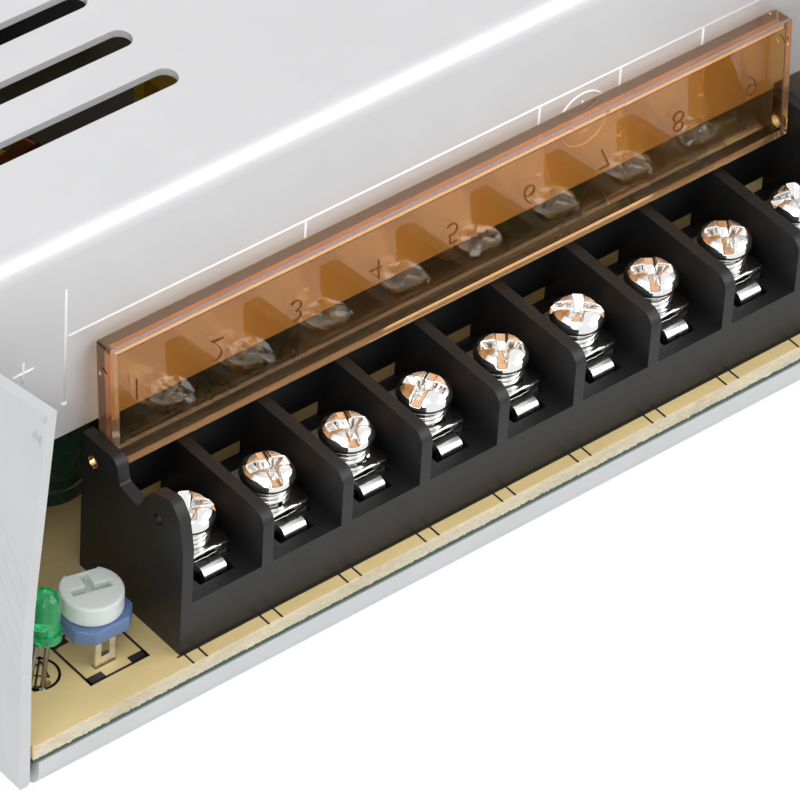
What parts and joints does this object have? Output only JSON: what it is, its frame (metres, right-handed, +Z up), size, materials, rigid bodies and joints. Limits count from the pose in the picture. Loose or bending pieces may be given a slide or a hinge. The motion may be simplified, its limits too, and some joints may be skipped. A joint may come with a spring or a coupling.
{
  "type": "led power supply",
  "caption": "Enclosed switching power supply in a folded metal case, with a barrier strip of screw terminals under a hinged amber flap.",
  "frame": {"origin": "middle of the base, on the surface it stands on", "axes": "+X along the terminals to the right, +Y from the terminals to the back, +Z up"},
  "size_m": [0.117, 0.215, 0.0465],
  "materials": {
    "chassis_metal": "satin sheet metal",
    "cover_metal": "satin light grey",
    "black_moulding": "matt black moulding",
    "bright_plating": "bright nickel plate",
    "tin_plating": "tinned",
    "amber_plastic": "clear amber plastic",
    "board_laminate": "tan laminate",
    "white_plastic": "white moulding",
    "blue_plastic": "blue moulding",
    "green_lens": "clear green",
    "clear_sheet": "translucent sheet",
    "dark_sleeve": "dark green sleeve",
    "black_sleeve": "black sleeve",
    "ferrite": "ground ferrite",
    "iron_powder": "painted powder core",
    "copper_wire": "enamelled copper",
    "steel_screws": "zinc plated",
    "yellow_case": "yellow case",
    "green_ceramic": "coated ceramic",
    "glass_tube": "clear tube",
    "grey_body": "cement body"
  },
  "bodies": {
    "case": {"board_screws": "steel_screws", "board_spacers": "steel_screws", "bridge_rectifier": "black_moulding", "chassis": "chassis_metal", "circuit_board": "board_laminate", "clamp_screws": "steel_screws", "control_chip": "black_moulding", "cover_screws": "steel_screws", "driver_transformer": "yellow_case", "filter_capacitor": "yellow_case", "filter_choke_coils": "copper_wire", "filter_choke_core": "ferrite", "filter_choke_foot": "black_moulding", "fuse": "glass_tube", "fuse_clips": "tin_plating", "insulating_sheet": "clear_sheet", "lamp_leads": "tin_plating", "lamp_lens": "green_lens", "output_capacitors": "dark_sleeve", "output_choke_core": "iron_powder", "output_choke_winding": "copper_wire", "output_rectifiers": "black_moulding", "power_resistors": "grey_body", "rectifier_clamp": "chassis_metal", "reservoir_capacitors": "black_sleeve", "surge_limiter": "green_ceramic", "switch_transistors": "black_moulding", "terminal_block": "black_moulding", "terminal_tabs": "tin_plating", "top_cover": "cover_metal", "transformer_bobbin": "black_moulding", "transformer_core": "ferrite", "transformer_winding": "copper_wire", "transistor_clamp": "chassis_metal", "trimmer_base": "blue_plastic", "trimmer_leads": "tin_plating"},
    "washers_1": {"clamp_washers_1": "bright_plating"},
    "screw_1": {"terminal_screw_1": "bright_plating"},
    "washers_2": {"clamp_washers_2": "bright_plating"},
    "screw_2": {"terminal_screw_2": "bright_plating"},
    "washers_3": {"clamp_washers_3": "bright_plating"},
    "screw_3": {"terminal_screw_3": "bright_plating"},
    "washers_4": {"clamp_washers_4": "bright_plating"},
    "screw_4": {"terminal_screw_4": "bright_plating"},
    "washers_5": {"clamp_washers_5": "bright_plating"},
    "screw_5": {"terminal_screw_5": "bright_plating"},
    "washers_6": {"clamp_washers_6": "bright_plating"},
    "screw_6": {"terminal_screw_6": "bright_plating"},
    "washers_7": {"clamp_washers_7": "bright_plating"},
    "screw_7": {"terminal_screw_7": "bright_plating"},
    "washers_8": {"clamp_washers_8": "bright_plating"},
    "screw_8": {"terminal_screw_8": "bright_plating"},
    "washers_9": {"clamp_washers_9": "bright_plating"},
    "screw_9": {"terminal_screw_9": "bright_plating"},
    "flap": {"terminal_flap": "amber_plastic"},
    "rotor": {"trimmer_rotor": "white_plastic"}
  },
  "joints": [
    {"name": "flap_hinge", "type": "hinge", "parent": "case", "child": "flap", "pos_m": [0, -0.0922, 0.0203], "axis": [1, 0, 0], "range_deg": [0, 94]},
    {"name": "trimmer_turn", "type": "hinge", "parent": "case", "child": "rotor", "pos_m": [-0.0439, -0.1002, 0.011], "axis": [0, 0, 1], "range_deg": [-105, 105]},
    {"name": "washer_lift_1", "type": "slide", "parent": "case", "child": "washers_1", "axis": [0, 0, 1], "range_m": [-0.00059, 0.00239]},
    {"name": "screw_turn_1", "type": "hinge", "parent": "washers_1", "child": "screw_1", "pos_m": [-0.03235, -0.0996, 0.018], "axis": [0, 0, 1], "range_deg": [-424.8, 1720.8]},
    {"name": "washer_lift_2", "type": "slide", "parent": "case", "child": "washers_2", "axis": [0, 0, 1], "range_m": [-0.00059, 0.00239]},
    {"name": "screw_turn_2", "type": "hinge", "parent": "washers_2", "child": "screw_2", "pos_m": [-0.02285, -0.0996, 0.018], "axis": [0, 0, 1], "range_deg": [-424.8, 1720.8]},
    {"name": "washer_lift_3", "type": "slide", "parent": "case", "child": "washers_3", "axis": [0, 0, 1], "range_m": [-0.00059, 0.00239]},
    {"name": "screw_turn_3", "type": "hinge", "parent": "washers_3", "child": "screw_3", "pos_m": [-0.01335, -0.0996, 0.018], "axis": [0, 0, 1], "range_deg": [-424.8, 1720.8]},
    {"name": "washer_lift_4", "type": "slide", "parent": "case", "child": "washers_4", "axis": [0, 0, 1], "range_m": [-0.00059, 0.00239]},
    {"name": "screw_turn_4", "type": "hinge", "parent": "washers_4", "child": "screw_4", "pos_m": [-0.00385, -0.0996, 0.018], "axis": [0, 0, 1], "range_deg": [-424.8, 1720.8]},
    {"name": "washer_lift_5", "type": "slide", "parent": "case", "child": "washers_5", "axis": [0, 0, 1], "range_m": [-0.00059, 0.00239]},
    {"name": "screw_turn_5", "type": "hinge", "parent": "washers_5", "child": "screw_5", "pos_m": [0.00565, -0.0996, 0.018], "axis": [0, 0, 1], "range_deg": [-424.8, 1720.8]},
    {"name": "washer_lift_6", "type": "slide", "parent": "case", "child": "washers_6", "axis": [0, 0, 1], "range_m": [-0.00059, 0.00239]},
    {"name": "screw_turn_6", "type": "hinge", "parent": "washers_6", "child": "screw_6", "pos_m": [0.01515, -0.0996, 0.018], "axis": [0, 0, 1], "range_deg": [-424.8, 1720.8]},
    {"name": "washer_lift_7", "type": "slide", "parent": "case", "child": "washers_7", "axis": [0, 0, 1], "range_m": [-0.00059, 0.00239]},
    {"name": "screw_turn_7", "type": "hinge", "parent": "washers_7", "child": "screw_7", "pos_m": [0.02465, -0.0996, 0.018], "axis": [0, 0, 1], "range_deg": [-424.8, 1720.8]},
    {"name": "washer_lift_8", "type": "slide", "parent": "case", "child": "washers_8", "axis": [0, 0, 1], "range_m": [-0.00059, 0.00239]},
    {"name": "screw_turn_8", "type": "hinge", "parent": "washers_8", "child": "screw_8", "pos_m": [0.03415, -0.0996, 0.018], "axis": [0, 0, 1], "range_deg": [-424.8, 1720.8]},
    {"name": "washer_lift_9", "type": "slide", "parent": "case", "child": "washers_9", "axis": [0, 0, 1], "range_m": [-0.00059, 0.00239]},
    {"name": "screw_turn_9", "type": "hinge", "parent": "washers_9", "child": "screw_9", "pos_m": [0.04365, -0.0996, 0.018], "axis": [0, 0, 1], "range_deg": [-424.8, 1720.8]}
  ],
  "couplings": [
    {"joint": "screw_turn_1", "follows": "washer_lift_1", "rad_per_m": 12566},
    {"joint": "screw_turn_2", "follows": "washer_lift_2", "rad_per_m": 12566},
    {"joint": "screw_turn_3", "follows": "washer_lift_3", "rad_per_m": 12566},
    {"joint": "screw_turn_4", "follows": "washer_lift_4", "rad_per_m": 12566},
    {"joint": "screw_turn_5", "follows": "washer_lift_5", "rad_per_m": 12566},
    {"joint": "screw_turn_6", "follows": "washer_lift_6", "rad_per_m": 12566},
    {"joint": "screw_turn_7", "follows": "washer_lift_7", "rad_per_m": 12566},
    {"joint": "screw_turn_8", "follows": "washer_lift_8", "rad_per_m": 12566},
    {"joint": "screw_turn_9", "follows": "washer_lift_9", "rad_per_m": 12566}
  ]
}
